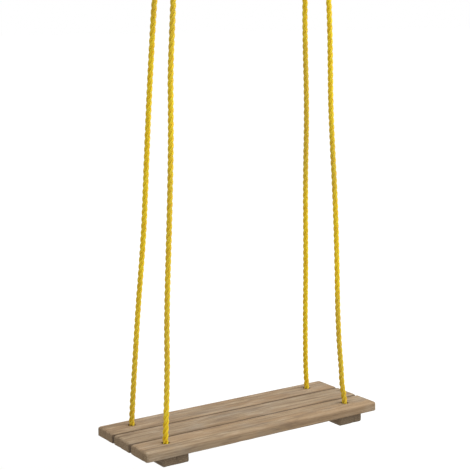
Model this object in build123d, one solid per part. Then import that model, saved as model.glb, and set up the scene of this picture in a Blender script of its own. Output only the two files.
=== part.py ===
from build123d import *
import os
from math import atan, atan2, cos, degrees, pi, radians, sin, sqrt, tan

os.makedirs("parts", exist_ok=True)

# Plank swing. Millimetres, +Z up, X along the seat, +Y to the rear.
# The origin is midway between the two hanger plates, on the beam's underside.

# ---- driving dimensions -------------------------------------------------
seat_length = 600.0
slat_width = 70.0
slat_gap = 2.5
slat_thickness = 21.0
slat_top_round = 5.5
slat_bottom_round = 3.0
slat_corner_round = 5.0

cleat_width = 63.0
cleat_length = 207.0
cleat_thickness = 19.0
cleat_round = 4.0
cleat_centre = 228.5            # from the seat's middle

seat_x = -24.0                  # the seat's middle hangs this far to the left of the hangers' middle
seat_top = -1230.0              # height of the sitting surface

rope_d = 12.0
hole_d = 16.0
hole_left = -235.0              # from the seat's middle
hole_right = 236.0
hole_y = 72.0
hole_lower_round = 7.0
hole_upper_round = 1.5

screw_length = 30.0
screw_shank_r = 2.0
screw_head_r = 4.3
screw_head_h = 2.7
screw_dx = 19.0                 # from the cleat's middle line
screw_dy = 17.0                 # from the slat's middle line

hanger_half = 174.0             # half the distance between the two hooks
pivot_z = -70.0                 # centre of the hook's wire at its saddle
hook_wire_r = 5.0
hook_bowl_r = 21.0              # centreline radius of the hook's bowl
ring_wire_r = 4.0
ring_play = 0.3                 # between the hook's saddle and the ring
ring_bar = 70.0                 # from the pivot down to the ring's straight bar
ring_half = 44.0                # half the ring's width, on the wire's centreline
ring_corner_r = 10.0
ring_side_r = 60.0
ring_bow_r = 16.0
lean_left = degrees(atan(0.0689))
lean_right = -degrees(atan(0.0281))

plate_x = 42.0
plate_y = 112.0
plate_t = 6.0
plate_hole_d = 9.0
plate_hole_spacing = 78.0
plate_corner = 8.0

eye_y = 30.0                    # rope eyes on the bar, each side of the middle
eye_r = 17.0                    # centreline radius of the rope round its thimble
thimble_wall = 1.8
ferrule_length = 32.0
ferrule_wall = 1.9
strand_offset = 6.2             # half the distance between the rope's two parts in a ferrule

latch_open = 40.0


def save(shape, name):
    shape.label = name
    export_step(shape, f"parts/{name}.step")


# ---- seat ---------------------------------------------------------------
seat_bottom = seat_top - slat_thickness
cleat_bottom = seat_bottom - cleat_thickness
slat_pitch = slat_width + slat_gap
slat_ys = {"front": -slat_pitch, "middle": 0.0, "rear": slat_pitch}
cleat_xs = {"left": seat_x - cleat_centre, "right": seat_x + cleat_centre}
hole_xs = {"left": seat_x + hole_left, "right": seat_x + hole_right}


def screw_spots():
    spots = []
    for cx in cleat_xs.values():
        for sy in slat_ys.values():
            for k in (-1, 1):
                spots.append((cx + k * screw_dx, sy + k * screw_dy))
    return spots


def screw(x, y, grow=0.0, tip=0.0):
    """A countersunk screw pointing up, head flush with the cleat's underside."""
    z = cleat_bottom
    head = Solid.make_cone(screw_head_r + grow, screw_shank_r + grow, screw_head_h, Plane((x, y, z)))
    shank = Solid.make_cylinder(screw_shank_r + grow, screw_length - 5 - screw_head_h + tip, Plane((x, y, z + screw_head_h)))
    point = Solid.make_cone(screw_shank_r + grow, 0.4, 5, Plane((x, y, z + screw_length - 5 + tip)))
    return Part() + head + shank + point


def slat(y, holes):
    body = Pos(seat_x, y, (seat_top + seat_bottom) / 2) * Box(seat_length, slat_width, slat_thickness)
    body = fillet(body.edges().filter_by(Axis.Z), slat_corner_round)
    body = fillet(body.faces().sort_by(Axis.Z)[-1].edges(), slat_top_round)
    body = fillet(body.faces().sort_by(Axis.Z)[0].edges(), slat_bottom_round)
    if holes:
        for hx in hole_xs.values():
            hy = hole_y if y > 0 else -hole_y
            body -= Pos(hx, hy, seat_top - slat_thickness / 2) * Cylinder(hole_d / 2, slat_thickness + 4)
            rim = [e for e in body.edges().filter_by(GeomType.CIRCLE)
                   if abs(e.radius - hole_d / 2) < 0.01 and abs(e.center().Z - seat_top) < 0.01
                   and abs(e.arc_center.X - hx) < 1]
            body = fillet(rim, hole_upper_round)
    for sx, sy in screw_spots():
        if abs(sy - y) < slat_width / 2:
            body -= screw(sx, sy, 0.05, 0.5)
    return body


def cleat(cx, hx):
    body = Pos(cx, 0, (seat_bottom + cleat_bottom) / 2) * Box(cleat_width, cleat_length, cleat_thickness)
    body = fillet(body.edges().filter_by(Axis.Z), cleat_round)
    body = fillet(body.faces().sort_by(Axis.Z)[0].edges(), cleat_round)
    for s in (-1, 1):
        body -= Pos(hx, s * hole_y, (seat_bottom + cleat_bottom) / 2) * Cylinder(hole_d / 2, cleat_thickness + 4)
    rims = [e for e in body.edges().filter_by(GeomType.CIRCLE)
            if abs(e.radius - hole_d / 2) < 0.01 and abs(e.center().Z - cleat_bottom) < 0.01]
    body = fillet(rims, hole_lower_round)
    for sx, sy in screw_spots():
        if abs(sx - cx) < cleat_width / 2:
            body -= screw(sx, sy, 0.05, 0.5)
    return body


for row, y in slat_ys.items():
    save(slat(y, row != "middle"), f"slat_{row}")
for side, cx in cleat_xs.items():
    save(cleat(cx, hole_xs[side]), f"cleat_{side}")
save(Compound(children=[s for x, y in screw_spots() for s in screw(x, y).solids()]), "slat_screws")

# ---- ropes --------------------------------------------------------------
# One rope a side: tail, front or rear eye, leg, under the cleat, leg, eye, tail.
# The turns round the thimbles and round the lower edges of the holes are as tight as those.
rope_left = [
    (-180.1, 34.2, -248.6), (-176.7, 32.3, -198.8), (-172.2, 31.3, -174.0), (-159.0, 30.0, -139.0), (-177.7, 29.4, -123.7),
    (-198.3, 29.9, -136.3), (-190.0, 31.3, -172.8), (-189.0, 32.2, -197.9), (-192.5, 34.2, -247.8), (-200.4, 38.7, -345.0),
    (-206.5, 41.8, -430.0), (-212.8, 45.6, -530.0), (-218.8, 48.2, -630.0), (-223.9, 51.9, -735.0), (-227.9, 53.7, -805.0),
    (-235.1, 57.9, -895.0), (-241.4, 61.5, -965.0), (-251.5, 67.6, -1110.0), (-256.6, 69.7, -1180.0), (-259.0, 71.4, -1222.0),
    (-258.7, 72.7, -1248.0), (-259.0, 72.0, -1269.2), (-259.2, 64.9, -1276.3), (-259.6, 47.0, -1276.9), (-259.3, 17.0, -1277.7),
    (-258.5, -17.0, -1277.5), (-258.7, -46.0, -1276.8), (-259.0, -64.9, -1276.3), (-259.0, -72.0, -1269.2), (-259.3, -72.7, -1248.0),
    (-259.0, -71.4, -1222.0), (-255.5, -70.4, -1182.0), (-252.0, -68.7, -1130.0), (-247.4, -66.0, -1065.0), (-245.0, -62.1, -1000.0),
    (-239.1, -58.6, -910.0), (-232.4, -55.9, -820.0), (-225.4, -52.2, -730.0), (-219.1, -48.8, -635.0), (-214.6, -44.7, -550.0),
    (-211.5, -40.5, -475.0), (-202.9, -37.5, -380.0), (-196.9, -36.0, -305.0), (-192.5, -34.2, -247.8), (-189.0, -32.2, -197.9),
    (-190.0, -31.3, -172.8), (-198.3, -29.9, -136.3), (-177.7, -29.4, -123.7), (-159.0, -30.0, -139.0), (-172.2, -31.3, -174.0),
    (-176.7, -32.3, -198.8), (-180.1, -34.2, -248.6),
]
rope_right = [
    (172.8, 34.2, -248.7), (171.4, 32.3, -198.8), (168.0, 31.3, -173.9), (156.2, 29.9, -138.3), (175.5, 29.4, -123.9),
    (195.6, 29.9, -137.2), (185.8, 31.3, -173.4), (183.8, 32.3, -198.4), (185.2, 34.2, -248.4), (184.5, 37.5, -298.0),
    (185.2, 40.5, -360.0), (188.3, 43.0, -440.0), (192.7, 45.1, -530.0), (195.2, 48.3, -615.0), (195.7, 52.4, -695.0),
    (197.7, 55.9, -780.0), (199.9, 58.3, -855.0), (203.0, 62.4, -950.0), (204.2, 65.9, -1040.0), (206.6, 69.2, -1120.0),
    (208.7, 71.2, -1180.0), (212.0, 71.4, -1222.0), (212.3, 72.7, -1248.0), (212.0, 72.0, -1269.2), (211.8, 64.9, -1276.3),
    (211.4, 47.0, -1276.9), (211.7, 17.0, -1277.7), (212.5, -17.0, -1277.5), (212.3, -46.0, -1276.8), (212.0, -64.9, -1276.3),
    (212.0, -72.0, -1269.2), (211.7, -72.7, -1248.0), (212.0, -71.4, -1222.0), (207.1, -67.5, -1186.0), (206.2, -66.0, -1146.0),
    (203.0, -62.9, -1095.0), (200.7, -59.8, -1015.0), (200.4, -57.7, -920.0), (199.3, -54.9, -820.0), (197.1, -51.7, -730.0),
    (193.9, -47.8, -640.0), (191.7, -44.6, -555.0), (191.6, -43.3, -470.0), (191.6, -41.0, -380.0), (189.3, -38.0, -305.0),
    (185.2, -34.2, -248.4), (183.8, -32.3, -198.4), (185.8, -31.3, -173.4), (195.6, -29.9, -137.2), (175.5, -29.4, -123.9),
    (156.2, -29.9, -138.3), (168.0, -31.3, -173.9), (171.4, -32.3, -198.8), (172.8, -34.2, -248.7),
]


def tube(route, name):
    pts = [Vector(*p) for p in route]
    radii = []
    for a, b, c in zip(pts, pts[1:], pts[2:]):
        turn = (b - a).get_angle(c - b)
        run = min((b - a).length, (c - b).length)
        radii.append(0.45 * run / tan(radians(turn) / 2))
    print(name, "arc radii", [round(r) for r in radii])
    path = FilletPolyline(*pts, radius=radii)
    start = Plane(origin=path @ 0, z_dir=path % 0)
    body = sweep(start * Circle(rope_d / 2), path)
    print(name, "length", round(path.length, 1), "volume ratio",
          round(body.volume / (pi * (rope_d / 2) ** 2 * path.length), 4), "valid", body.is_valid)
    save(body, name)
    return body


tube(rope_left, "rope_left")
tube(rope_right, "rope_right")


# ---- eyes: thimble and ferrule -----------------------------------------
def eye_plane(side, row):
    """Centre of the eye, X across it and Z up along the leg. row is 1 at the rear and -1 at the front."""
    lean = lean_left if side == "left" else lean_right
    pivot = Vector(-hanger_half if side == "left" else hanger_half, 0, pivot_z)
    bar = pivot + Vector(-ring_bar * sin(radians(lean)), row * eye_y, -ring_bar * cos(radians(lean)))
    slope = tan(radians(lean))
    w = Vector(slope, -row * 0.0385, 1).normalized()
    inner = eye_r - rope_d / 2 - 0.3 - thimble_wall
    centre = bar - w * (inner - ring_wire_r - 0.2)
    u = (Vector(1, 0, 0) - w * w.X).normalized()
    return Plane(origin=centre, x_dir=u, z_dir=w)


def thimble(plane):
    """A half-round gutter bent into a drop, inside the rope's turn."""
    low = -27.0
    lean = radians(16.7)
    tx, tz = eye_r * cos(lean), -eye_r * sin(lean)      # where the sides meet the round end
    sx = tx - (tz - low) * tan(lean)
    with BuildLine(Plane.XZ) as path:
        Line((sx, low), (tx, tz))
        ThreePointArc((tx, tz), (0, eye_r), (-tx, tz))
        Line((-tx, tz), (-sx, low))
    wire = path.wire()
    r_in, r_out = rope_d / 2 + 0.3, rope_d / 2 + 0.3 + thimble_wall
    start = Plane(origin=wire @ 0, x_dir=(0, 1, 0), z_dir=wire % 0)
    # the start plane's Y points out of the eye or into it; keep the half that lies on the inner side
    inward = start.y_dir.dot(Vector(-1, 0, 0)) > 0
    ring = Circle(r_out) - Circle(r_in)
    half = ring & (Pos(0, (1 if inward else -1) * r_out, 0) * Rectangle(4 * r_out, 2 * r_out))
    body = sweep(start * half, wire)
    return plane.location * body


def ferrule(plane):
    r_in = rope_d / 2 + 0.15
    outer = SlotCenterToCenter(2 * strand_offset, 2 * (r_in + ferrule_wall))
    inner = SlotCenterToCenter(2 * strand_offset, 2 * r_in)
    body = extrude(outer - inner, ferrule_length)
    body = fillet([e for e in body.edges() if e.geom_type in (GeomType.CIRCLE, GeomType.LINE)
                   and (abs(e.center().Z) < 0.01 or abs(e.center().Z - ferrule_length) < 0.01)], 0.7)
    return plane.location * (Pos(0, 0, -62 - ferrule_length) * body)


for side in ("left", "right"):
    for row, s in (("front", -1), ("rear", 1)):
        at = eye_plane(side, s)
        save(thimble(at), f"thimble_{side}_{row}")
        save(ferrule(at), f"ferrule_{side}_{row}")


# ---- rings --------------------------------------------------------------
def ring(side):
    """A welded bow ring in the YZ plane, hung from the hook's saddle by its bow."""
    lean = lean_left if side == "left" else lean_right
    top = hook_wire_r + ring_play + ring_wire_r
    c = ring_side_r - ring_bow_r
    side_y = ring_half - ring_side_r                     # centre of the side arc
    beta = atan2(sqrt(c ** 2 - side_y ** 2), -side_y)
    bow_z = top - ring_bow_r                             # centre of the bow's top arc
    side_z = bow_z - c * sin(beta)
    end = (side_y + ring_side_r * cos(beta), side_z + ring_side_r * sin(beta))
    mid = (side_y + ring_side_r * cos(beta / 2), side_z + ring_side_r * sin(beta / 2))
    low = -ring_bar
    k = ring_corner_r
    q = k * (1 - sqrt(0.5))
    with BuildLine(Plane.YZ) as path:
        Line((0, low), (ring_half - k, low))
        ThreePointArc((ring_half - k, low), (ring_half - q, low + q), (ring_half, low + k))
        Line((ring_half, low + k), (ring_half, side_z))
        ThreePointArc((ring_half, side_z), mid, end)
        ThreePointArc(end, (0, top), (-end[0], end[1]))
        ThreePointArc((-end[0], end[1]), (-mid[0], mid[1]), (-ring_half, side_z))
        Line((-ring_half, side_z), (-ring_half, low + k))
        ThreePointArc((-ring_half, low + k), (-ring_half + q, low + q), (-ring_half + k, low))
        Line((-ring_half + k, low), (0, low))
    wire = path.wire()
    start = Plane(origin=(0, 0, low), z_dir=(0, 1, 0))
    body = sweep(start * Circle(ring_wire_r), wire)
    x = -hanger_half if side == "left" else hanger_half
    return Pos(x, 0, pivot_z) * Rot(0, lean, 0) * body


# ---- hangers ------------------------------------------------------------
def mirrored(shape, side):
    return shape if side == "left" else mirror(shape, Plane.YZ)


plate_under = -plate_t
hook_top = -pivot_z                                      # plate's upper face, from the saddle
pin_x, pin_z, pin_r = 0.9, 51.0, 1.5


def hook():
    """Round bar in the XZ plane: tip on the -X side, bowl, and back to a shank on the centreline. Origin at the saddle."""
    R = hook_bowl_r

    def at(a, r=R, cx=0.0, cz=R):
        return (cx + r * cos(radians(a)), cz + r * sin(radians(a)))

    with BuildLine(Plane.XZ) as path:
        ThreePointArc(at(150), at(215), at(270))
        ThreePointArc(at(270), at(345), at(60 + 360))
        e = at(60)
        cx, cz = e[0] + R * cos(radians(60)), e[1] + R * sin(radians(60))
        ThreePointArc(e, at(180 + 30, R, cx, cz), at(180, R, cx, cz))
        Line(at(180, R, cx, cz), (0, hook_top))
    wire = path.wire()
    start = Plane(origin=wire @ 0, z_dir=wire % 0)
    body = Part() + sweep(start * Circle(hook_wire_r), wire)
    tip = wire @ 0
    body += Pos(tip.X, tip.Y, tip.Z) * Sphere(hook_wire_r)
    under = hook_top - plate_t
    body += Solid.make_cone(hook_wire_r, hook_wire_r + 3.5, 3.5, Plane((0, 0, under - 3.5)))
    body -= Pos(pin_x, 0, pin_z) * Rot(90, 0, 0) * Cylinder(pin_r + 0.02, 20)
    return body


def plate():
    body = Pos(0, 0, hook_top - plate_t / 2) * Box(plate_x, plate_y, plate_t)
    body = fillet(body.edges().filter_by(Axis.Z), plate_corner)
    body -= Pos(0, 0, hook_top - plate_t / 2) * Cylinder(hook_wire_r, plate_t + 2)
    for s in (-1, 1):
        body -= Pos(0, s * plate_hole_spacing / 2, hook_top - plate_t / 2) * Cylinder(plate_hole_d / 2, plate_t + 2)
    body = chamfer(body.faces().sort_by(Axis.Z)[0].outer_wire().edges(), 0.8)
    return body


latch_end = (-12.0, 27.9)
ear_in, ear_out = 5.5, 6.9
coil_y = 7.15                                            # where the spring's coil starts, outside the rear ear
coil_h = 3.5


def latch():
    """A pressed channel: two ears on the pin and a web that shuts against the inside of the hook's tip."""
    ex, ez = latch_end
    dx, dz = ex - pin_x, ez - pin_z
    d = sqrt(dx * dx + dz * dz)
    ux, uz = dx / d, dz / d                              # from the pin towards the end
    nx, nz = uz, -ux                                     # to the throat's side
    r1, r2 = 3.6, 1.8

    def p(along, out):
        return (pin_x + ux * along + nx * out, pin_z + uz * along + nz * out)

    with BuildSketch(Plane.XZ) as prof:
        with BuildLine():
            Polyline(p(0, r1), p(d, r2), p(d + 1.2, 0.6), p(d + 1.2, -0.6), p(d, -r2), p(0, -r1), p(-r1 * 0.7, -r1 * 0.7),
                     p(-r1, 0), p(-r1 * 0.7, r1 * 0.7), p(0, r1))
        make_face()
    body = extrude(prof.sketch, ear_out, both=True)
    with BuildSketch(Plane.XZ) as gap:
        with BuildLine():
            Polyline(p(-6, 8), p(13, 8), p(13, r1 - 2.1), p(d - 3.5, r2 - 1.5), p(d - 3.5, -8), p(-6, -8), p(-6, 8))
        make_face()
    body -= extrude(gap.sketch, ear_in, both=True)
    body -= Pos(pin_x, 0, pin_z) * Rot(90, 0, 0) * Cylinder(pin_r + 0.05, 20)
    return body


def latch_pin():
    y0, y1 = -(ear_out + 0.1), coil_y + coil_h + 0.9
    body = Pos(pin_x, (y0 + y1) / 2, pin_z) * Rot(90, 0, 0) * Cylinder(pin_r, y1 - y0)
    for y in (y0 - 0.6, y1 + 0.6):
        head = Pos(pin_x, y, pin_z) * Rot(90, 0, 0) * Cylinder(2.6, 1.2)
        body += fillet(head.edges(), 0.4)
    return body


def latch_spring():
    """A torsion spring on the pin, outside the rear ear: three close turns, one leg along the latch and the other up the shank."""
    wire, mean, step = 0.6, 2.3, 1.15
    body = Part()
    for turn in range(3):
        body += Pos(0, 0, wire + step * turn) * Torus(mean, wire)
    for z, way in ((wire, -1), (wire + 2 * step, 1)):
        body += Pos(mean, 0, z) * Rot(-90 * way, 0, 0) * Pos(0, 0, 4.6) * Cylinder(wire, 9.2)
    turned = Rot(0, 0, 62) * body
    return Pos(pin_x, coil_y, pin_z) * Rot(-90, 0, 0) * turned


left = Pos(-hanger_half, 0, pivot_z)
for side in ("left", "right"):
    save(ring(side), f"ring_{side}")
    save(mirrored(left * hook(), side), f"hook_{side}")
    save(mirrored(left * plate(), side), f"hanger_plate_{side}")
    save(mirrored(left * latch(), side), f"latch_{side}")
    save(mirrored(left * latch_pin(), side), f"latch_pin_{side}")
    save(mirrored(left * latch_spring(), side), f"latch_spring_{side}")
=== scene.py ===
import math

import bpy
import numpy as np
from mathutils import Matrix, Vector


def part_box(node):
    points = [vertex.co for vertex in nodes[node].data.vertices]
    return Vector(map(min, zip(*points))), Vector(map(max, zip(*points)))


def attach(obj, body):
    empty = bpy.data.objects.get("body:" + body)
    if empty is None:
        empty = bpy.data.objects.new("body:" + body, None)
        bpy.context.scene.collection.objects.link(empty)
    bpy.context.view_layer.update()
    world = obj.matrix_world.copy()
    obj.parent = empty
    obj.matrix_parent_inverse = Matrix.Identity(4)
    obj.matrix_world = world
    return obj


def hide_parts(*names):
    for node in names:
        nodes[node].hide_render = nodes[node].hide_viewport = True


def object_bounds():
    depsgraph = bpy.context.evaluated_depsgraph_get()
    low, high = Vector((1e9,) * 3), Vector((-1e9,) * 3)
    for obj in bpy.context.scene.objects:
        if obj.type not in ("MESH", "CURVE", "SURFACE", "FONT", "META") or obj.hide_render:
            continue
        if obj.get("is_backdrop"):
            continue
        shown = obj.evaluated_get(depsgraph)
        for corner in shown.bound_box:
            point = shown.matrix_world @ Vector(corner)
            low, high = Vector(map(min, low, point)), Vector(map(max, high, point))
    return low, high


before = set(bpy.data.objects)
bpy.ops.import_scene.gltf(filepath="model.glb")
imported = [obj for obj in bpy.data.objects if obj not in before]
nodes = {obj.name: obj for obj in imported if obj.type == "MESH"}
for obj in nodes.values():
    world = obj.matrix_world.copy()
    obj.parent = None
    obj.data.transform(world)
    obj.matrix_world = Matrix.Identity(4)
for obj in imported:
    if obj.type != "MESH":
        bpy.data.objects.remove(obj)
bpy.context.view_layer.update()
scene = bpy.context.scene

# Plank swing. Metres, +Z up, X along the seat, +Y to the rear.
# The origin is on the beam's underside, midway between the two hanger plates.

ROPE_D = 0.012
LAY_PITCH = 0.044               # one turn of the rope's three strands
STRAND_R = 0.28 * ROPE_D        # radius of a strand
STRAND_C = 0.237 * ROPE_D       # and of the circle its centre runs on
HOLE_R = 0.008
FLOOR = -1.72

# ---- routes of the two ropes: control points of a NURBS spline ------------
# tail, eye round its thimble, leg, under the cleat, leg, eye, tail
ROUTE_LEFT = [
    (-0.1801, 0.0342, -0.2486), (-0.1767, 0.0323, -0.1988), (-0.1722, 0.0313, -0.1740), (-0.1590, 0.0300, -0.1390),
    (-0.1777, 0.0294, -0.1237), (-0.1983, 0.0299, -0.1363), (-0.1900, 0.0313, -0.1728), (-0.1890, 0.0322, -0.1979),
    (-0.1925, 0.0342, -0.2478), (-0.2004, 0.0387, -0.3450), (-0.2065, 0.0418, -0.4300), (-0.2128, 0.0456, -0.5300),
    (-0.2188, 0.0482, -0.6300), (-0.2239, 0.0519, -0.7350), (-0.2279, 0.0537, -0.8050), (-0.2351, 0.0579, -0.8950),
    (-0.2414, 0.0615, -0.9650), (-0.2515, 0.0676, -1.1100), (-0.2566, 0.0697, -1.1800), (-0.2590, 0.0714, -1.2220),
    (-0.2587, 0.0727, -1.2480), (-0.2590, 0.0720, -1.2692), (-0.2592, 0.0649, -1.2763), (-0.2596, 0.0470, -1.2769),
    (-0.2593, 0.0170, -1.2777), (-0.2585, -0.0170, -1.2775), (-0.2587, -0.0460, -1.2768), (-0.2590, -0.0649, -1.2763),
    (-0.2590, -0.0720, -1.2692), (-0.2593, -0.0727, -1.2480), (-0.2590, -0.0714, -1.2220),
    (-0.2555, -0.0704, -1.1820), (-0.2520, -0.0687, -1.1300), (-0.2474, -0.0660, -1.0650),
    (-0.2450, -0.0621, -1.0000), (-0.2391, -0.0586, -0.9100), (-0.2324, -0.0559, -0.8200),
    (-0.2254, -0.0522, -0.7300), (-0.2191, -0.0488, -0.6350), (-0.2146, -0.0447, -0.5500),
    (-0.2115, -0.0405, -0.4750), (-0.2029, -0.0375, -0.3800), (-0.1969, -0.0360, -0.3050),
    (-0.1925, -0.0342, -0.2478), (-0.1890, -0.0322, -0.1979), (-0.1900, -0.0313, -0.1728),
    (-0.1983, -0.0299, -0.1363), (-0.1777, -0.0294, -0.1237), (-0.1590, -0.0300, -0.1390),
    (-0.1722, -0.0313, -0.1740), (-0.1767, -0.0323, -0.1988), (-0.1801, -0.0342, -0.2486),
]
ROUTE_RIGHT = [
    (0.1728, 0.0342, -0.2487), (0.1714, 0.0323, -0.1988), (0.1680, 0.0313, -0.1739), (0.1562, 0.0299, -0.1383),
    (0.1755, 0.0294, -0.1239), (0.1956, 0.0299, -0.1372), (0.1858, 0.0313, -0.1734), (0.1838, 0.0323, -0.1984),
    (0.1852, 0.0342, -0.2484), (0.1845, 0.0375, -0.2980), (0.1852, 0.0405, -0.3600), (0.1883, 0.0430, -0.4400),
    (0.1927, 0.0451, -0.5300), (0.1952, 0.0483, -0.6150), (0.1957, 0.0524, -0.6950), (0.1977, 0.0559, -0.7800),
    (0.1999, 0.0583, -0.8550), (0.2030, 0.0624, -0.9500), (0.2042, 0.0659, -1.0400), (0.2066, 0.0692, -1.1200),
    (0.2087, 0.0712, -1.1800), (0.2120, 0.0714, -1.2220), (0.2123, 0.0727, -1.2480), (0.2120, 0.0720, -1.2692),
    (0.2118, 0.0649, -1.2763), (0.2114, 0.0470, -1.2769), (0.2117, 0.0170, -1.2777), (0.2125, -0.0170, -1.2775),
    (0.2123, -0.0460, -1.2768), (0.2120, -0.0649, -1.2763), (0.2120, -0.0720, -1.2692), (0.2117, -0.0727, -1.2480),
    (0.2120, -0.0714, -1.2220), (0.2071, -0.0675, -1.1860), (0.2062, -0.0660, -1.1460), (0.2030, -0.0629, -1.0950),
    (0.2007, -0.0598, -1.0150), (0.2004, -0.0577, -0.9200), (0.1993, -0.0549, -0.8200), (0.1971, -0.0517, -0.7300),
    (0.1939, -0.0478, -0.6400), (0.1917, -0.0446, -0.5550), (0.1916, -0.0433, -0.4700), (0.1916, -0.0410, -0.3800),
    (0.1893, -0.0380, -0.3050), (0.1852, -0.0342, -0.2484), (0.1838, -0.0323, -0.1984), (0.1858, -0.0313, -0.1734),
    (0.1956, -0.0299, -0.1372), (0.1755, -0.0294, -0.1239), (0.1562, -0.0299, -0.1383), (0.1680, -0.0313, -0.1739),
    (0.1714, -0.0323, -0.1988), (0.1728, -0.0342, -0.2487),
]


# ---- camera --------------------------------------------------------------
def make_camera():
    yaw, pitch, roll = math.radians(33.52), math.radians(9.67), math.radians(-0.64)
    forward = Vector((math.sin(yaw) * math.cos(pitch), math.cos(yaw) * math.cos(pitch), -math.sin(pitch)))
    right = Vector((math.cos(yaw), -math.sin(yaw), 0))
    up = right.cross(forward)
    r = right * math.cos(roll) + up * math.sin(roll)
    u = up * math.cos(roll) - right * math.sin(roll)
    data = bpy.data.cameras.new("camera")
    data.sensor_width = 36.0
    data.lens = 1242.8 * 36.0 / 470.0
    data.clip_start, data.clip_end = 0.05, 200.0
    cam = bpy.data.objects.new("camera", data)
    scene.collection.objects.link(cam)
    m = Matrix((r, u, -forward)).transposed().to_4x4()
    m.translation = Vector((-1.4920, -2.2016, -0.3781))
    cam.matrix_world = m
    scene.camera = cam


make_camera()


# ---- noise ---------------------------------------------------------------
def lattice(ix, iy, iz, seed):
    m = np.uint64(0xFFFFFFFF)
    h = (ix.astype(np.int64).astype(np.uint64) * np.uint64(374761393)
         + iy.astype(np.int64).astype(np.uint64) * np.uint64(668265263)
         + iz.astype(np.int64).astype(np.uint64) * np.uint64(2246822519)
         + np.uint64(seed * 974634777 + 12345)) & m
    h = ((h ^ (h >> np.uint64(13))) * np.uint64(1274126177)) & m
    h = ((h ^ (h >> np.uint64(16))) * np.uint64(2654435761)) & m
    return ((h ^ (h >> np.uint64(15))) & m).astype(float) / float(0xFFFFFFFF)


def noise(p, seed=0):
    """Smooth value noise from 0 to 1 at the points p, whose lattice is one unit."""
    q = np.floor(p)
    f = p - q
    f = f * f * (3 - 2 * f)
    i = q.astype(np.int64)
    out = 0.0
    for dx in (0, 1):
        for dy in (0, 1):
            for dz in (0, 1):
                w = ((f[:, 0] if dx else 1 - f[:, 0]) * (f[:, 1] if dy else 1 - f[:, 1])
                     * (f[:, 2] if dz else 1 - f[:, 2]))
                out = out + w * lattice(i[:, 0] + dx, i[:, 1] + dy, i[:, 2] + dz, seed)
    return out


def fbm(p, seed=0, octaves=3):
    total, amp, out = 0.0, 1.0, 0.0
    for o in range(octaves):
        out = out + amp * noise(p * 2.0 ** o, seed + 17 * o)
        total += amp
        amp *= 0.5
    return out / total


def smooth(a, b, x):
    t = np.clip((x - a) / (b - a), 0, 1)
    return t * t * (3 - 2 * t)


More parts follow.
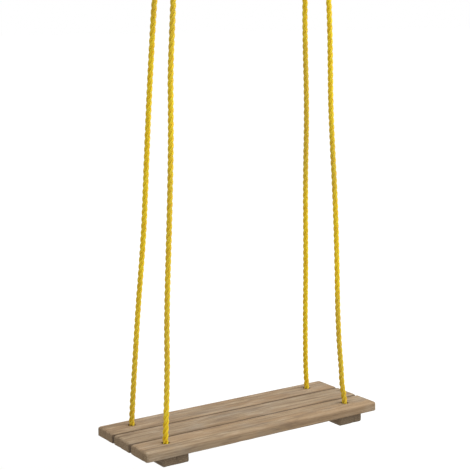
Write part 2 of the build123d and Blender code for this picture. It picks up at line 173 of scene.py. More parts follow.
# ---- shader helpers -------------------------------------------------------
class Tree:
    """Builds a node tree, one node a call. A value that is a tuple (node, "socket") is a link."""

    def __init__(self, name):
        self.mat = bpy.data.materials.new(name)
        self.mat.use_nodes = True
        self.t = self.mat.node_tree
        self.t.nodes.clear()
        self.out = self.t.nodes.new("ShaderNodeOutputMaterial")

    def put(self, socket, value):
        if isinstance(value, bpy.types.NodeSocket):
            self.t.links.new(value, socket)
        else:
            socket.default_value = value

    def node(self, kind, **inputs):
        n = self.t.nodes.new("ShaderNode" + kind)
        for key, value in inputs.items():
            if hasattr(n, key) and key not in n.inputs:
                setattr(n, key, value)
            else:
                self.put(n.inputs[key.replace("_", " ")] if key.replace("_", " ") in n.inputs else n.inputs[key], value)
        return n

    def math(self, op, a, b=None, c=None, clamp=False):
        n = self.t.nodes.new("ShaderNodeMath")
        n.operation, n.use_clamp = op, clamp
        for s, v in zip(n.inputs, (a, b, c)):
            if v is not None:
                self.put(s, v)
        return n.outputs[0]

    def vmath(self, op, a, b=None):
        n = self.t.nodes.new("ShaderNodeVectorMath")
        n.operation = op
        for s, v in zip(n.inputs, (a, b)):
            if v is not None:
                self.put(s, v)
        return n.outputs[0]

    def scaled(self, vector, scale, shift=(0, 0, 0)):
        n = self.t.nodes.new("ShaderNodeMapping")
        self.put(n.inputs["Vector"], vector)
        n.inputs["Scale"].default_value = scale
        n.inputs["Location"].default_value = shift
        return n.outputs[0]

    def noise(self, vector, scale=1.0, detail=3.0, rough=0.5, distort=0.0):
        n = self.t.nodes.new("ShaderNodeTexNoise")
        self.put(n.inputs["Vector"], vector)
        n.inputs["Scale"].default_value = scale
        n.inputs["Detail"].default_value = detail
        n.inputs["Roughness"].default_value = rough
        n.inputs["Distortion"].default_value = distort
        return n.outputs["Fac"]

    def ramp(self, fac, stops, mode="EASE"):
        n = self.t.nodes.new("ShaderNodeValToRGB")
        self.put(n.inputs["Fac"], fac)
        n.color_ramp.interpolation = mode
        while len(n.color_ramp.elements) > 1:
            n.color_ramp.elements.remove(n.color_ramp.elements[-1])
        first = True
        for at, c in stops:
            c = (c, c, c) if isinstance(c, (int, float)) else c
            e = n.color_ramp.elements[0] if first else n.color_ramp.elements.new(at)
            e.position, e.color = at, (*c, 1)
            first = False
        return n.outputs["Color"]

    def range(self, value, a, b, c=0.0, d=1.0):
        n = self.t.nodes.new("ShaderNodeMapRange")
        n.interpolation_type = "SMOOTHSTEP"
        for k, v in (("Value", value), ("From Min", a), ("From Max", b), ("To Min", c), ("To Max", d)):
            self.put(n.inputs[k], v)
        return n.outputs["Result"]

    def mix(self, fac, a, b, mode="MIX"):
        n = self.t.nodes.new("ShaderNodeMix")
        n.data_type, n.blend_type = "RGBA", mode
        n.clamp_factor = True
        self.put(n.inputs[0], fac)
        for s, v in ((n.inputs[6], a), (n.inputs[7], b)):
            self.put(s, (*v, 1) if isinstance(v, tuple) and len(v) == 3 else v)
        return n.outputs[2]

    def attribute(self, name):
        n = self.t.nodes.new("ShaderNodeAttribute")
        n.attribute_name = name
        return n.outputs["Fac"]

    def bump(self, height, distance, strength=1.0, normal=None):
        n = self.t.nodes.new("ShaderNodeBump")
        self.put(n.inputs["Height"], height)
        n.inputs["Distance"].default_value = distance
        n.inputs["Strength"].default_value = strength
        if normal is not None:
            self.put(n.inputs["Normal"], normal)
        return n.outputs["Normal"]

    def finish(self, color, rough, normal=None, **constants):
        n = self.t.nodes.new("ShaderNodeBsdfPrincipled")
        self.put(n.inputs["Base Color"], color)
        self.put(n.inputs["Roughness"], rough)
        if normal is not None:
            self.put(n.inputs["Normal"], normal)
        for key, value in constants.items():
            n.inputs[key.replace("_", " ")].default_value = value
        self.t.links.new(n.outputs[0], self.out.inputs["Surface"])
        return self.mat


# ---- wood ------------------------------------------------------------------
def wood(name, seed, along, heart, tone, warm):
    """Weathered softwood. along is the grain's axis (0 is X, 1 is Y), heart is where the tree's middle lay beside the plank, tone scales the colour and warm tints it."""
    t = Tree(name)
    obj = t.node("TexCoord").outputs["Object"]
    if along == 1:
        turn = t.t.nodes.new("ShaderNodeMapping")
        turn.inputs["Rotation"].default_value = (0, 0, -math.pi / 2)
        t.put(turn.inputs["Vector"], obj)
        obj = turn.outputs[0]
    rng = np.random.default_rng(seed)
    shift = tuple(float(v) for v in rng.uniform(-5, 5, 3))
    p = t.scaled(obj, (1, 1, 1), (shift[0], 0, 0))
    sep = t.node("SeparateXYZ", Vector=p).outputs

    # growth rings round an axis beside the plank, wandering along the grain
    wander = t.noise(t.scaled(p, (1.6, 9, 9), shift), 1.0, 2.0, 0.5)
    wobble = t.noise(t.scaled(p, (7, 60, 60), shift), 1.0, 2.0, 0.5)
    dy = t.math("SUBTRACT", sep[1], heart[0])
    dz = t.math("SUBTRACT", sep[2], heart[1])
    r = t.math("SQRT", t.math("ADD", t.math("MULTIPLY", dy, dy), t.math("MULTIPLY", dz, dz)))
    r = t.math("ADD", r, t.math("MULTIPLY", wander, 0.012))
    r = t.math("ADD", r, t.math("MULTIPLY", wobble, 0.0016))
    ring = t.math("FRACT", t.math("DIVIDE", r, 0.0046))
    late = t.ramp(ring, [(0.0, 0.0), (0.45, 0.10), (0.80, 0.62), (0.92, 1.0), (1.0, 0.0)], "LINEAR")

    fibre = t.noise(t.scaled(p, (14, 1250, 1250), shift), 1.0, 3.0, 0.62)
    streak = t.noise(t.scaled(p, (4.2, 210, 210), shift), 1.0, 4.0, 0.6)
    broad = t.noise(t.scaled(p, (2.2, 34, 34), shift), 1.0, 3.0, 0.5)
    blotch = t.noise(t.scaled(p, (9, 22, 22), shift), 1.0, 4.0, 0.6)
    mottle = t.noise(t.scaled(p, (13, 66, 66), (2.2, 8.4, 5.1)), 1.0, 3.0, 0.6)
    pores = t.noise(t.scaled(p, (26, 900, 900), (3.1, 7.7, 1.3)), 1.0, 2.0, 0.5)
    fleck = t.range(pores, 0.66, 0.74)
    crackn = t.noise(t.scaled(p, (3.5, 330, 330), (9.1, 2.7, 4.3)), 1.0, 1.0, 0.4)
    crack = t.math("MULTIPLY", t.range(crackn, 0.735, 0.76), t.range(blotch, 0.40, 0.60))

    def c(*rgb):
        return tuple(min(1.0, v * tone * w) for v, w in zip(rgb, warm))

    base = t.ramp(streak, [(0.33, c(0.205, 0.146, 0.088)), (0.43, c(0.318, 0.238, 0.156)),
                           (0.53, c(0.392, 0.300, 0.200)), (0.64, c(0.470, 0.368, 0.256))])
    base = t.mix(t.math("MULTIPLY", late, 0.44), base, c(0.205, 0.138, 0.076))
    base = t.mix(t.range(broad, 0.44, 0.60, 0.0, 0.55), base, c(0.385, 0.262, 0.156), "MIX")
    grey = t.range(blotch, 0.48, 0.66, 0.0, 0.50)
    base = t.mix(grey, base, c(0.345, 0.302, 0.246))
    base = t.mix(t.range(mottle, 0.51, 0.70, 0.0, 0.58), base, c(0.205, 0.148, 0.102))
    base = t.mix(t.range(mottle, 0.30, 0.49, 0.50, 0.0), base, c(0.530, 0.440, 0.335))
    base = t.mix(t.range(fibre, 0.36, 0.60, 0.36, 0.0), base, c(0.155, 0.108, 0.066))
    base = t.mix(t.math("MULTIPLY", fleck, 0.45), base, c(0.100, 0.068, 0.040))
    base = t.mix(t.math("MULTIPLY", crack, 0.80), base, c(0.050, 0.034, 0.021))

    # worn edges are paler, the sawn ends darker and open-pored, and painted shade darkens the holes, the gaps between
    # slats and the end checks
    wear = t.attribute("wear")
    end = t.attribute("end")
    crevice_shade = t.attribute("crevice_shade")
    worn = t.math("MULTIPLY", wear, t.range(t.noise(t.scaled(p, (40, 60, 60), shift), 1.0, 3.0), 0.35, 0.65))
    base = t.mix(t.math("MULTIPLY", worn, 0.30), base, c(0.480, 0.395, 0.290))
    pit = t.noise(t.scaled(p, (300, 1500, 1500), shift), 1.0, 2.0, 0.6)
    endcol = t.mix(t.range(pit, 0.35, 0.65), c(0.185, 0.130, 0.078), c(0.450, 0.338, 0.222))
    endcol = t.mix(t.math("MULTIPLY", late, 0.5), endcol, c(0.140, 0.094, 0.054))
    base = t.mix(t.math("MULTIPLY", end, 0.88), base, endcol)
    # painted shade: this mask darkens the gaps, holes and end checks towards near black-brown
    base = t.mix(t.math("MULTIPLY", crevice_shade, 0.70), base, c(0.082, 0.056, 0.036))

    rough = t.range(t.math("ADD", t.math("MULTIPLY", fibre, 0.5), t.math("MULTIPLY", late, 0.2)), 0.15, 0.65, 0.92, 0.70)
    height = t.math("ADD", t.math("MULTIPLY", fibre, 0.55), t.math("MULTIPLY", late, 0.30))
    height = t.math("SUBTRACT", height, t.math("MULTIPLY", fleck, 0.35))
    height = t.math("SUBTRACT", height, t.math("MULTIPLY", crack, 1.2))
    height = t.math("ADD", height, t.math("MULTIPLY", t.math("MULTIPLY", pit, end), 1.1))
    normal = t.bump(height, 0.00035, 0.9)
    return t.finish(base, rough, normal, Specular_IOR_Level=0.32)


def stations(half, edge, fine, coarse):
    """Cuts from -half to half: fine within edge of each end, and coarse between."""
    n = max(1, round(edge / fine))
    near = np.linspace(0, edge, n + 1)
    m = max(1, round((2 * half - 2 * edge) / coarse))
    mid = np.linspace(-half + edge, half - edge, m + 1)
    return np.concatenate([-half + near[:-1], mid, (half - near[::-1])[1:]])


def disc(a, b, r):
    """Rounds the corner where a and b, both from its centre, are positive: the square of side r goes to a quarter disc."""
    s, t = np.clip(a / r, 0, None), np.clip(b / r, 0, None)
    both = (s > 0) & (t > 0)
    d = np.hypot(s, t)
    k = np.where(both, np.maximum(s, t) / np.where(d > 0, d, 1), 1.0)
    return k


def box_grid(xs, ys, zs):
    nx, ny, nz = len(xs), len(ys), len(zs)
    index = -np.ones((nx, ny, nz), np.int64)
    shell = np.zeros((nx, ny, nz), bool)
    shell[0], shell[-1] = True, True
    shell[:, 0], shell[:, -1] = True, True
    shell[:, :, 0], shell[:, :, -1] = True, True
    index[shell] = np.arange(shell.sum())
    i, j, k = np.nonzero(shell)
    p = np.stack([xs[i], ys[j], zs[k]], 1)
    faces = []

    def quads(g, flip):
        a, b, c, d = g[:-1, :-1].ravel(), g[1:, :-1].ravel(), g[1:, 1:].ravel(), g[:-1, 1:].ravel()
        faces.append(np.stack([a, d, c, b] if flip else [a, b, c, d], 1))

    quads(index[:, :, -1], False)
    quads(index[:, :, 0], True)
    quads(index[:, 0, :], False)
    quads(index[:, -1, :], True)
    quads(index[-1, :, :], False)
    quads(index[0, :, :], True)
    return p, np.concatenate(faces)


def mesh_from(name, verts, faces):
    me = bpy.data.meshes.new(name)
    me.vertices.add(len(verts))
    me.vertices.foreach_set("co", verts.astype(np.float32).ravel())
    me.loops.add(faces.size)
    me.loops.foreach_set("vertex_index", faces.astype(np.int32).ravel())
    me.polygons.add(len(faces))
    me.polygons.foreach_set("loop_start", np.arange(0, faces.size, faces.shape[1], dtype=np.int32))
    me.update(calc_edges=True)
    me.validate()
    return me


def link(name, me):
    o = bpy.data.objects.new(name, me)
    scene.collection.objects.link(o)
    return o


def normals_of(p, faces):
    n = np.zeros_like(p)
    f = np.cross(p[faces[:, 2]] - p[faces[:, 0]], p[faces[:, 3]] - p[faces[:, 1]])
    for k in range(4):
        np.add.at(n, faces[:, k], f)
    return n / np.maximum(np.linalg.norm(n, axis=1, keepdims=True), 1e-12)


def lathe(profile, at, steps=48):
    """Closed solid of revolution round +Z at a point. profile is (radius, height) from bottom to top."""
    verts, faces = [], []
    for r, z in profile:
        for k in range(steps):
            a = 2 * math.pi * k / steps
            verts.append((at[0] + r * math.cos(a), at[1] + r * math.sin(a), z))
    for i in range(len(profile) - 1):
        for k in range(steps):
            a, b = i * steps + k, i * steps + (k + 1) % steps
            faces.append((a, b, b + steps, a + steps))
    faces.append(tuple(range(steps - 1, -1, -1)))
    top = (len(profile) - 1) * steps
    faces.append(tuple(top + k for k in range(steps)))
    return verts, faces


def cutters(name, solids):
    verts, faces = [], []
    for v, f in solids:
        faces += [tuple(i + len(verts) for i in g) for g in f]
        verts += v
    me = bpy.data.meshes.new(name)
    me.from_pydata(verts, [], faces)
    me.update()
    return link(name, me)


def flare(z0, z1, r, upper, lower):
    """Profile of a hole from z0 up to z1 with rounded mouths."""
    prof = []
    if lower:
        prof.append((r + lower, z0 - 0.004))
        for k in range(9):
            a = math.pi / 2 * k / 8
            prof.append((r + lower - lower * math.sin(a), z0 + lower - lower * math.cos(a)))
    else:
        prof.append((r, z0 - 0.004))
    if upper:
        for k in range(7):
            a = math.pi / 2 * (1 - k / 6)
            prof.append((r + upper - upper * math.sin(a), z1 - upper + upper * math.cos(a)))
        prof.append((r + upper, z1 + 0.004))
    else:
        prof.append((r, z1 + 0.004))
    return prof


def plank(name, size, centre, along, rounds, seed, holes, cuts, rings, ends, neighbours=()):
    """One board: a gridded rounded block with its grain standing in relief, sawn ends, worn edges and end checks, then its holes cut.
    size is (length along the grain, width, thickness) and rounds is (long top edges, long bottom edges, upright corners, end edges)."""
    L, W, T = size
    top, bottom, corner, endr = rounds
    xs = stations(L / 2, 0.007, 0.0008, 0.0030)
    ys = stations(W / 2, 0.007, 0.0007, 0.00095 if W < 0.1 else 0.0011)
    zs = stations(T / 2, 0.006, 0.0007, 0.0011)
    p, faces = box_grid(xs, ys, zs)
    x, y, z = p.T.copy()
    flat_end = (np.abs(np.abs(x) - L / 2) < 1e-9).astype(float)
    # long edges
    for side, r in ((1, top), (-1, bottom)):
        a, b = np.abs(y) - (W / 2 - r), side * z - (T / 2 - r)
        k = disc(a, b, r)
        hit = (a > 0) & (b > 0)
        y = np.where(hit, np.sign(y) * (W / 2 - r + a * k), y)
        z = np.where(hit, side * (T / 2 - r + b * k), z)
    a, b = np.abs(x) - (L / 2 - corner), np.abs(y) - (W / 2 - corner)
    k = disc(a, b, corner)
    hit = (a > 0) & (b > 0)
    x = np.where(hit, np.sign(x) * (L / 2 - corner + a * k), x)
    y = np.where(hit, np.sign(y) * (W / 2 - corner + b * k), y)
    for side, r in ((1, endr[0]), (-1, endr[1])):
        a, b = np.abs(x) - (L / 2 - r), side * z - (T / 2 - r)
        k = disc(a, b, r)
        hit = (a > 0) & (b > 0)
        x = np.where(hit, np.sign(x) * (L / 2 - r + a * k), x)
        z = np.where(hit, side * (T / 2 - r + b * k), z)
    p = np.stack([x, y, z], 1)
    n = normals_of(p, faces)

    ey = W / 2 - np.abs(y)
    ez = T / 2 - np.abs(z)
    ex = L / 2 - np.abs(x)
    near = np.sort(np.stack([ex, ey, ez], 1), axis=1)
    edge = 1 - smooth(0.0, 0.0045, near[:, 1])               # 1 on an edge, 0 on a face
    end = smooth(0.55, 0.9, np.abs(n[:, 0]))
    q = p + np.array([seed * 1.37, seed * 0.71, seed * 0.23])

    # growth rings, as in the material
    heart = rings
    wander = fbm(q * [1.8, 9, 9], seed) * 0.012 + fbm(q * [8, 60, 60], seed + 5) * 0.0016
    ring = (np.hypot(y - heart[0], z - heart[1]) + wander) / 0.0046
    ring = ring - np.floor(ring)
    late = np.where(ring < 0.9, (ring / 0.9) ** 2.5, (1 - ring) / 0.1)
    relief = 0.00016 * (late - 0.3) * (1 - end)
    relief = relief + 0.00020 * (fbm(q * [16, 780, 780], seed + 9, 2) - 0.5) * (1 - 0.5 * end)
    relief = relief + 0.00060 * (fbm(q * [5, 26, 26], seed + 3) - 0.5)
    relief = relief + 0.00045 * (fbm(q * [200, 620, 620], seed + 21, 2) - 0.5) * end
    worn = smooth(0.45, 0.85, fbm(q * [34, 80, 80], seed + 31)) * edge
    relief = relief - 0.0010 * worn
    # end checks: short splits running in from each end
    rng = np.random.default_rng(seed + 100)
    split = np.zeros(len(p))
    for s in (-1, 1):
        for _ in range(ends):
            y0, reach, width = rng.uniform(-0.42, 0.42) * W, rng.uniform(0.012, 0.055), rng.uniform(0.0004, 0.0008)
            slant, face = rng.uniform(-0.03, 0.03), rng.choice([1, 1, -1])
            d = L / 2 - s * x
            line = y0 + slant * d + 0.0006 * (noise(np.stack([d * 90, d * 0, d * 0 + y0 * 999], 1), seed) - 0.5)
            fade = np.clip(1 - d / reach, 0, 1) * np.where(np.abs(n[:, 0]) > 0.5, np.clip(0.5 + face * z / T, 0, 1), n[:, 2] * face > 0.4)
            split = np.maximum(split, np.exp(-((y - line) / width) ** 2) * fade)
    relief = relief - 0.0011 * split
    # painted shade: the slat's sides that face the next slat are darkened down in the gap
    gap = np.zeros(len(p))
    for side in neighbours:
        deep = smooth(0.0006, 0.0030, T / 2 - p[:, 2] + 0.0010 * (fbm(q * [30, 60, 60], seed + 41) - 0.5))
        gap = np.maximum(gap, deep * smooth(W / 2 - 0.0062, W / 2 - 0.0020, side * p[:, 1]))
    p = p + n * relief[:, None]
    if along == 1:
        p = np.stack([-p[:, 1], p[:, 0], p[:, 2]], 1)
    p = p + np.array(centre)

    me = mesh_from(name, p, faces)
    # the third attribute is painted shade: darkening in the end checks and in the gaps between slats
    for key, value in (("wear", edge), ("end", end), ("crevice_shade", np.clip(np.maximum(split * 0.9, gap), 0, 1))):
        me.attributes.new(key, "FLOAT", "POINT").data.foreach_set("value", value.astype(np.float32))
    o = link(name, me)
    if cuts:
        tool = cutters(name + "_cut", [lathe(prof, at) for prof, at in cuts])
        mod = o.modifiers.new("holes", "BOOLEAN")
        mod.operation, mod.object, mod.solver = "DIFFERENCE", tool, "EXACT"
        bpy.context.view_layer.update()
        dg = bpy.context.evaluated_depsgraph_get()
        cut = bpy.data.meshes.new_from_object(o.evaluated_get(dg))
        o.modifiers.clear()
        o.data = cut
        bpy.data.objects.remove(tool)
        me = cut
    # painted shade darkens the inside of the holes, with a faint ring of it round each mouth
    co = np.zeros(len(me.vertices) * 3, np.float32)
    me.vertices.foreach_get("co", co)
    co = co.reshape(-1, 3)
    got = {}
    for key in ("wear", "end", "crevice_shade"):
        if key not in me.attributes:
            me.attributes.new(key, "FLOAT", "POINT")
        v = np.zeros(len(me.vertices), np.float32)
        me.attributes[key].data.foreach_get("value", v)
        got[key] = v
    for hx, hy in holes:
        d = np.hypot(co[:, 0] - hx, co[:, 1] - hy)
        got["crevice_shade"] = np.maximum(got["crevice_shade"], 0.90 * (1 - smooth(HOLE_R - 0.0002, HOLE_R + 0.0009, d)))
        got["crevice_shade"] = np.maximum(got["crevice_shade"], 0.16 * (1 - smooth(HOLE_R + 0.001, HOLE_R + 0.006, d)))
    for key, v in got.items():
        me.attributes[key].data.foreach_set("value", v.astype(np.float32))
    me.polygons.foreach_set("use_smooth", np.ones(len(me.polygons), bool))
    me.update()
    return o


SLAT_LO, SLAT_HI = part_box("slat_front")
SEAT_X = (SLAT_LO.x + SLAT_HI.x) / 2
SEAT_TOP, SEAT_BOTTOM = SLAT_HI.z, SLAT_LO.z
HOLE_X = {"left": -0.259, "right": 0.212}
HOLE_Y = 0.072
boards = {}
for row, seed, tone, warm, heart in (
        ("front", 11, 1.00, (1.02, 0.975, 0.915), (0.012, -0.085)),
        ("middle", 23, 0.97, (1.005, 0.975, 0.94), (-0.010, -0.070)),
        ("rear", 37, 0.98, (1.02, 0.975, 0.93), (0.020, -0.105))):
    lo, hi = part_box(f"slat_{row}")
    c = (lo + hi) / 2
    holes = [] if row == "middle" else [(x, HOLE_Y if row == "rear" else -HOLE_Y) for x in HOLE_X.values()]
    prof = flare(lo.z, hi.z, HOLE_R - 0.0005, 0.0014, 0)
    o = plank(f"board_{row}", (hi.x - lo.x, hi.y - lo.y, hi.z - lo.z), c, 0, (0.0070, 0.003, 0.006, (0.0055, 0.0025)),
              seed, holes, [(prof, (x, y)) for x, y in holes], heart, 6,
              {"front": (1,), "middle": (-1, 1), "rear": (-1,)}[row])
    o.data.materials.append(wood(f"wood_{row}", seed, 0, (c.y + heart[0], c.z + heart[1]), tone, warm))
    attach(o, "seat")
    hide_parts(f"slat_{row}")
    boards[row] = o

SCREW_DX, SCREW_DY, SLAT_PITCH = 0.019, 0.017, 0.0725
for side, seed, heart in (("left", 51, (0.010, -0.060)), ("right", 67, (-0.014, -0.075))):
    lo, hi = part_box(f"cleat_{side}")
    c = (lo + hi) / 2
    holes = [(HOLE_X[side], s * HOLE_Y) for s in (-1, 1)]
    cuts = [(flare(lo.z, hi.z, HOLE_R, 0, 0.007), h) for h in holes]
    for row in (-1, 0, 1):
        for k in (-1, 1):
            at = (c.x + k * SCREW_DX, row * SLAT_PITCH + k * SCREW_DY)
            cuts.append(([(0.0056, lo.z - 0.003), (0.0050, lo.z - 0.0002), (0.0044, lo.z + 0.0004), (0.0021, lo.z + 0.0028),
                          (0.0020, lo.z + 0.0060)], at))
    o = plank(f"crosspiece_{side}", (hi.y - lo.y, hi.x - lo.x, hi.z - lo.z), c, 1, (0.0012, 0.004, 0.004, (0.0012, 0.004)),
              seed, holes, cuts, heart, 3)
    # the cleats take the slats' wood at 0.66 of its tone: painted shade, as they hang under the seat
    o.data.materials.append(wood(f"wood_cleat_{side}", seed, 1, (-c.x + heart[0], c.z + heart[1]), 0.66, (1.0, 0.985, 0.97)))
    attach(o, "seat")
    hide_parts(f"cleat_{side}")
    boards[side] = o


# ---- ropes -----------------------------------------------------------------
def rope_material():
    t = Tree("rope_yellow")
    uv = t.node("UVMap", uv_map="lay").outputs[0]
    groove_shade = t.attribute("groove_shade")
    melt = t.attribute("melt")
    grime = t.attribute("grime")
    obj = t.node("TexCoord").outputs["Object"]
    # U runs across the yarns, V along the rope, in metres
    yarn = t.noise(t.scaled(uv, (760, 26, 1)), 1.0, 1.0, 0.4)
    fibre = t.noise(t.scaled(uv, (5200, 90, 1)), 1.0, 2.0, 0.6)
    tone = t.noise(t.scaled(uv, (420, 14, 1), (3.3, 1.7, 0)), 1.0, 2.0, 0.5)
    cast = t.noise(t.scaled(obj, (20, 20, 9)), 1.0, 2.0, 0.5)
    base = t.ramp(t.math("ADD", t.math("MULTIPLY", yarn, 0.55), t.math("MULTIPLY", tone, 0.45)),
                  [(0.30, (0.860, 0.560, 0.010)), (0.42, (0.965, 0.675, 0.016)), (0.55, (0.990, 0.740, 0.024)),
                   (0.70, (0.995, 0.800, 0.045))])
    base = t.mix(t.range(yarn, 0.38, 0.47, 0.45, 0.0), base, (0.740, 0.430, 0.005))
    base = t.mix(t.range(fibre, 0.34, 0.52, 0.30, 0.0), base, (0.780, 0.465, 0.007))
    base = t.mix(t.range(fibre, 0.58, 0.72, 0.0, 0.35), base, (0.960, 0.780, 0.085))
    # painted shade: the valleys between the strands are darkened towards orange-brown
    base = t.mix(t.range(groove_shade, 0.40, 1.0, 0.0, 0.54), base, (0.610, 0.325, 0.004))
    base = t.mix(t.range(cast, 0.48, 0.68, 0.0, 0.16), base, (0.740, 0.560, 0.020))
    base = t.mix(t.math("MULTIPLY", grime, 0.28), base, (0.400, 0.280, 0.090))
    base = t.mix(t.math("MULTIPLY", melt, 0.85), base, (0.560, 0.330, 0.030))
    rough = t.range(fibre, 0.3, 0.7, 0.62, 0.42)
    height = t.math("ADD", t.math("MULTIPLY", yarn, 1.0), t.math("MULTIPLY", fibre, 0.45))
    height = t.math("MULTIPLY", height, t.range(melt, 0.0, 1.0, 1.0, 0.15))
    normal = t.bump(height, 0.00095, 0.95)
    return t.finish(base, rough, normal, Specular_IOR_Level=0.26, Sheen_Weight=0.04, Sheen_Roughness=0.45, Sheen_Tint=(1.0, 0.86, 0.35, 1.0),
                    Subsurface_Weight=0.20, Subsurface_Radius=(1.0, 0.62, 0.12), Subsurface_Scale=0.0014)


def spline_points(name, route):
    """The points that Blender gives for the route's NURBS spline."""
    cu = bpy.data.curves.new(name, "CURVE")
    cu.dimensions = "3D"
    cu.resolution_u = 48
    sp = cu.splines.new("NURBS")
    sp.points.add(len(route) - 1)
    for q, at in zip(sp.points, route):
        q.co = (*at, 1.0)
    sp.order_u = 3
    sp.use_endpoint_u = True
    o = link(name, cu)
    bpy.context.view_layer.update()
    me = bpy.data.meshes.new_from_object(o)
    co = np.zeros(len(me.vertices) * 3, np.float32)
    me.vertices.foreach_get("co", co)
    bpy.data.objects.remove(o)
    bpy.data.meshes.remove(me)
    return co.reshape(-1, 3).astype(float)


def along_points(line, step):
    """Even steps along a line of points: places, unit tangents, distances."""
    seg = np.linalg.norm(np.diff(line, axis=0), axis=1)
    keep = np.concatenate([[True], seg > 1e-7])
    line = line[keep]
    s = np.concatenate([[0], np.cumsum(np.linalg.norm(np.diff(line, axis=0), axis=1))])
    n = int(round(s[-1] / step))
    at = np.linspace(0, s[-1], n + 1)
    p = np.stack([np.interp(at, s, line[:, k]) for k in range(3)], 1)
    t = np.gradient(p, axis=0)
    t /= np.linalg.norm(t, axis=1, keepdims=True)
    return p, t, at


def carried_frames(t):
    """Normals that turn no more than the line does."""
    n = np.zeros_like(t)
    a = np.cross(t[0], (0.0, 0.0, 1.0) if abs(t[0][2]) < 0.9 else (0.0, 1.0, 0.0))
    n[0] = a / np.linalg.norm(a)
    for i in range(1, len(t)):
        v = n[i - 1] - t[i] * np.dot(n[i - 1], t[i])
        n[i] = v / np.linalg.norm(v)
    return n, np.cross(t, n)


ROUND = 48                       # points round the rope, 16 a strand


def laid_rope(name, route, seed):
    line = spline_points(name + "_line", route)
    p, t, s = along_points(line, 0.00138)
    n, b = carried_frames(t)
    total = s[-1]
    k = np.arange(ROUND)
    local = ((k % 16) / 16.0 * 2 - 1) * math.pi / 3        # angle from the strand's crest
    shape = STRAND_C * np.cos(local) + np.sqrt(STRAND_R ** 2 - (STRAND_C * np.sin(local)) ** 2)
    hollow = np.clip((STRAND_C + STRAND_R - shape) / (STRAND_C + STRAND_R - shape.min()), 0, 1)
    angle = k * 2 * math.pi / ROUND
    slow = noise(np.stack([s * 9, s * 0, s * 0], 1), seed)
    pitch = LAY_PITCH * (0.96 + 0.08 * slow)
    turn = np.concatenate([[0], np.cumsum(np.diff(s) / pitch[1:])]) * 2 * math.pi
    theta = turn[:, None] + angle[None, :]
    S, K = np.meshgrid(s, k, indexing="ij")
    strand = K // 16
    rough = noise(np.stack([(S * 160).ravel(), (K * 0.45).ravel(), (strand * 7.0).ravel()], 1), seed + 3).reshape(S.shape)
    swell = noise(np.stack([(S * 22).ravel(), (strand * 9.0).ravel(), (S * 0).ravel()], 1), seed + 4).reshape(S.shape)
    r = shape[None, :] * (1 + 0.035 * (swell - 0.5)) + 0.00016 * (rough - 0.5)
    # the heat-sealed tips draw in
    tip = np.minimum(s, total - s)
    r = r * (1 - 0.10 * (1 - smooth(0.0, 0.004, tip)))[:, None]
    even = (1 - smooth(0.0, 0.005, tip))[:, None]
    r = r * (1 - 0.6 * even) + 0.0051 * 0.6 * even
    verts = p[:, None, :] + r[..., None] * (np.cos(theta)[..., None] * n[:, None, :] + np.sin(theta)[..., None] * b[:, None, :])
    rings = len(p)
    verts = verts.reshape(-1, 3)
    melt = np.repeat(1 - smooth(0.0015, 0.0045, tip), ROUND)
    # painted shade mask: 1 in the valleys between the strands, 0 on their crests
    groove_shade = np.tile(hollow ** 1.3, rings)
    caps, capfaces = [], []
    for end, d in ((0, -1), (rings - 1, 1)):
        base_ring = verts[end * ROUND:(end + 1) * ROUND]
        prev = end * ROUND + np.arange(ROUND)
        for f, out in ((0.86, 0.0008), (0.62, 0.0014), (0.32, 0.0017)):
            ring = p[end] + (base_ring - p[end]) * f + t[end] * d * out
            start = len(verts) + sum(len(c) for c in caps)
            caps.append(ring)
            now = start + np.arange(ROUND)
            q = [prev, np.roll(prev, -1), np.roll(now, -1), now]
            capfaces.append(np.stack(q if d > 0 else q[::-1], 1))
            prev = now
        start = len(verts) + sum(len(c) for c in caps)
        caps.append((p[end] + t[end] * d * 0.0018)[None, :])
        for i in range(0, ROUND, 2):
            a, c, e = prev[i], prev[(i + 1) % ROUND], prev[(i + 2) % ROUND]
            capfaces.append(np.array([[start, a, c, e]] if d > 0 else [[e, c, a, start]]))
    body = np.arange(rings * ROUND).reshape(rings, ROUND)
    a, c = body[:-1], body[1:]
    quads = np.stack([a.ravel(), np.roll(a, -1, 1).ravel(), np.roll(c, -1, 1).ravel(), c.ravel()], 1)
    extra = np.concatenate(caps)
    faces = np.concatenate([quads] + capfaces)
    me = mesh_from(name, np.concatenate([verts, extra]), faces)
    # coordinates for the yarns: across, leaning back against the lay, and along
    uv = me.uv_layers.new(name="lay")
    ka = np.tile(k, rings - 1)
    ia = np.repeat(np.arange(rings - 1), ROUND)
    width = 2 * STRAND_R * 0.85
    corners = []
    for dk, di in ((0, 0), (1, 0), (1, 1), (0, 1)):
        frac = (ka % 16 + dk) / 16.0 - 0.5
        sv = s[ia + di]
        corners.append(np.stack([frac * width + 0.45 * sv, sv + (ka // 16) * 7.3], 1))
    flat = np.stack(corners, 1).reshape(-1, 2)
    allv = np.zeros((len(me.loops), 2), np.float32)
    allv[:len(flat)] = flat
    loopv = np.zeros(len(me.loops), np.int32)
    me.loops.foreach_get("vertex_index", loopv)
    rest = np.concatenate([verts, extra])[loopv[len(flat):]]
    allv[len(flat):] = rest[:, :2]
    uv.data.foreach_set("uv", allv.ravel())
    grime = np.repeat(smooth(0.4, 0.9, noise(np.stack([s * 6, s * 0, s * 0 + 3], 1), seed + 8)), ROUND)
    pad = len(extra)
    for key, value, last in (("groove_shade", groove_shade, 0.0), ("melt", melt, 1.0), ("grime", grime, 0.0)):
        value = np.concatenate([value, np.full(pad, last)])
        me.attributes.new(key, "FLOAT", "POINT").data.foreach_set("value", value.astype(np.float32))
    me.polygons.foreach_set("use_smooth", np.ones(len(me.polygons), bool))
    me.update()
    o = link(name, me)
    return o, p, total


ROPE = rope_material()
for side, route, seed in (("left", ROUTE_LEFT, 5), ("right", ROUTE_RIGHT, 8)):
    o, p, total = laid_rope(f"laid_rope_{side}", route, seed)
    o.data.materials.append(ROPE)
    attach(o, "seat")
    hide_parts(f"rope_{side}")
    print(f"laid_rope_{side}", "spline length", round(float(total), 4), "triangles", 2 * len(o.data.polygons))


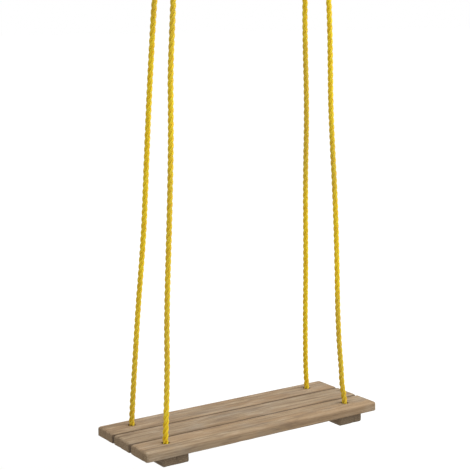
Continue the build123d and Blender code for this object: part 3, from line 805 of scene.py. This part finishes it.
# ---- metals ----------------------------------------------------------------
def galvanised(name, seed, base=(0.56, 0.57, 0.58), spangle=260, rough=(0.34, 0.56), metal=1.0, worn=0.35):
    """Zinc on steel: faint crystals, dull patches, fine scratches and paler rubbed places."""
    t = Tree(name)
    obj = t.node("TexCoord").outputs["Object"]
    p = t.scaled(obj, (1, 1, 1), (seed * 0.37, seed * 0.11, seed * 0.53))
    v = t.t.nodes.new("ShaderNodeTexVoronoi")
    v.feature = "F1"
    t.put(v.inputs["Vector"], p)
    v.inputs["Scale"].default_value = spangle
    cell = t.node("SeparateColor", Color=v.outputs["Color"]).outputs[0]
    cloud = t.noise(t.scaled(p, (38, 38, 38)), 1.0, 4.0, 0.6)
    fine = t.noise(t.scaled(p, (1400, 1400, 1400)), 1.0, 2.0, 0.5)
    scratch = t.noise(t.scaled(p, (90, 1600, 420)), 1.0, 2.0, 0.5)
    dark = tuple(0.70 * c for c in base)
    pale = tuple(min(1, 1.22 * c) for c in base)
    col = t.mix(t.range(cell, 0.1, 0.9, 0.0, 0.45), tuple(base), dark)
    col = t.mix(t.range(cloud, 0.40, 0.70, 0.0, 0.55), col, pale)
    col = t.mix(t.range(scratch, 0.62, 0.70, 0.0, worn), col, pale)
    stain = t.noise(t.scaled(p, (60, 60, 14)), 1.0, 3.0, 0.6)
    col = t.mix(t.range(stain, 0.60, 0.80, 0.0, 0.35), col, (0.30, 0.27, 0.23))
    mixr = t.math("ADD", t.math("MULTIPLY", cloud, 0.6), t.math("MULTIPLY", cell, 0.4))
    r = t.range(mixr, 0.25, 0.75, rough[0], rough[1])
    h = t.math("ADD", t.math("MULTIPLY", fine, 0.4), t.math("MULTIPLY", cloud, 0.9))
    h = t.math("SUBTRACT", h, t.range(scratch, 0.64, 0.70, 0.0, 0.35))
    return t.finish(col, r, t.bump(h, 0.00012, 0.7), Metallic=metal, Specular_IOR_Level=0.5)


def ferrule_metal():
    """Soft aluminium pressed on in a ribbed die."""
    t = Tree("ferrule_metal")
    obj = t.node("TexCoord").outputs["Object"]
    z = t.node("SeparateXYZ", Vector=obj).outputs[2]
    band = t.math("SINE", t.math("MULTIPLY", z, 2 * math.pi / 0.0056))
    cloud = t.noise(t.scaled(obj, (55, 55, 55)), 1.0, 4.0, 0.6)
    fine = t.noise(t.scaled(obj, (900, 900, 2600)), 1.0, 2.0, 0.5)
    col = t.mix(t.range(cloud, 0.35, 0.7, 0.0, 0.6), (0.62, 0.62, 0.61), (0.76, 0.76, 0.75))
    # painted shade: the troughs between the ribs are darkened
    col = t.mix(t.range(band, -1.0, -0.3, 0.40, 0.0), col, (0.36, 0.35, 0.33))
    h = t.math("ADD", t.math("MULTIPLY", band, 1.0), t.math("MULTIPLY", fine, 0.12))
    r = t.range(cloud, 0.3, 0.7, 0.32, 0.50)
    return t.finish(col, r, t.bump(h, 0.0003, 0.8), Metallic=1.0, Specular_IOR_Level=0.5)


MATERIALS = {
    "hanger_plate": galvanised("galvanised_plate", 3, (0.53, 0.54, 0.55), 230, (0.38, 0.60)),
    "hook": galvanised("galvanised_hook", 7, (0.56, 0.57, 0.58), 320, (0.30, 0.50)),
    "ring": galvanised("galvanised_ring", 11, (0.60, 0.61, 0.62), 420, (0.24, 0.42)),
    "thimble": galvanised("galvanised_thimble", 13, (0.58, 0.59, 0.60), 460, (0.30, 0.48)),
    "latch_pin": galvanised("pin_steel", 17, (0.50, 0.50, 0.50), 700, (0.22, 0.36)),
    "latch_spring": galvanised("spring_steel", 19, (0.44, 0.44, 0.45), 900, (0.22, 0.34)),
    "latch": galvanised("latch_steel", 23, (0.57, 0.58, 0.60), 520, (0.28, 0.44)),
    "slat_screws": galvanised("zinc_screw", 29, (0.60, 0.58, 0.50), 900, (0.28, 0.42)),
    "ferrule": ferrule_metal(),
}
for key, o in nodes.items():
    if o.hide_render:
        continue
    kind = max((k for k in MATERIALS if key.startswith(k)), key=len)
    if not o.material_slots:
        o.data.materials.append(MATERIALS[kind])
    for s in o.material_slots:
        s.material = MATERIALS[kind]


# ---- stage: floor, light, world ----------------------------------------------
def make_stage():
    half = 150.0
    me = bpy.data.meshes.new("floor")
    me.from_pydata([(-half, -half, FLOOR), (half, -half, FLOOR), (half, half, FLOOR), (-half, half, FLOOR)], [], [(0, 1, 2, 3)])
    me.update()
    o = link("floor", me)
    t = Tree("floor_pale")
    obj = t.node("TexCoord").outputs["Object"]
    far = t.math("SQRT", t.math("ADD", t.math("POWER", t.node("SeparateXYZ", Vector=obj).outputs[0], 2.0),
                                t.math("POWER", t.node("SeparateXYZ", Vector=obj).outputs[1], 2.0)))
    cloud = t.noise(t.scaled(obj, (0.7, 0.7, 0.7)), 1.0, 2.0, 0.5)
    col = t.mix(cloud, (0.80, 0.80, 0.80), (0.82, 0.82, 0.82))
    col = t.mix(t.node("LightPath").outputs["Is Camera Ray"], (0.62, 0.62, 0.62), col)
    lit = t.node("BsdfDiffuse", Color=col)
    glow = t.node("Emission")
    glow.inputs["Color"].default_value = (1, 1, 1, 1)
    t.put(glow.inputs["Strength"], t.math("MULTIPLY", t.range(far, 0.25, 3.2, 0.10, 0.56),
                                         t.node("LightPath").outputs["Is Camera Ray"]))
    both = t.node("AddShader")
    t.t.links.new(lit.outputs[0], both.inputs[0])
    t.t.links.new(glow.outputs[0], both.inputs[1])
    t.t.links.new(both.outputs[0], t.out.inputs["Surface"])
    o.data.materials.append(t.mat)
    o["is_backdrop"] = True

    def softbox(name, at, target, size, power):
        data = bpy.data.lights.new(name, "AREA")
        data.shape, data.size, data.energy = "DISK", size, power
        lamp = bpy.data.objects.new(name, data)
        scene.collection.objects.link(lamp)
        at, target = Vector(at), Vector(target)
        lamp.matrix_world = Matrix.Translation(at) @ (target - at).to_track_quat("-Z", "Y").to_matrix().to_4x4()

    softbox("key", (0.80, -0.75, 1.95), (0, 0, -1.2), 2.6, 78)
    softbox("side", (2.8, -2.2, 0.3), (0, 0, -0.9), 2.0, 16)

    world = bpy.data.worlds.new("studio")
    scene.world = world
    world.use_nodes = True
    w = world.node_tree
    w.nodes.clear()
    out = w.nodes.new("ShaderNodeOutputWorld")
    seen = w.nodes.new("ShaderNodeBackground")
    seen.inputs["Color"].default_value = (1, 1, 1, 1)
    seen.inputs["Strength"].default_value = 1.0
    sky = w.nodes.new("ShaderNodeBackground")
    sky.inputs["Color"].default_value = (1.0, 0.992, 0.978, 1)
    sky.inputs["Strength"].default_value = 0.62
    ray = w.nodes.new("ShaderNodeLightPath")
    mixer = w.nodes.new("ShaderNodeMixShader")
    w.links.new(ray.outputs["Is Camera Ray"], mixer.inputs[0])
    w.links.new(sky.outputs[0], mixer.inputs[1])
    w.links.new(seen.outputs[0], mixer.inputs[2])
    w.links.new(mixer.outputs[0], out.inputs["Surface"])


make_stage()
scene.view_settings.view_transform = "Standard"
scene.view_settings.look = "None"
scene.view_settings.exposure = 0.0
scene.view_settings.gamma = 1.0

bpy.context.view_layer.update()
lo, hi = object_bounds()
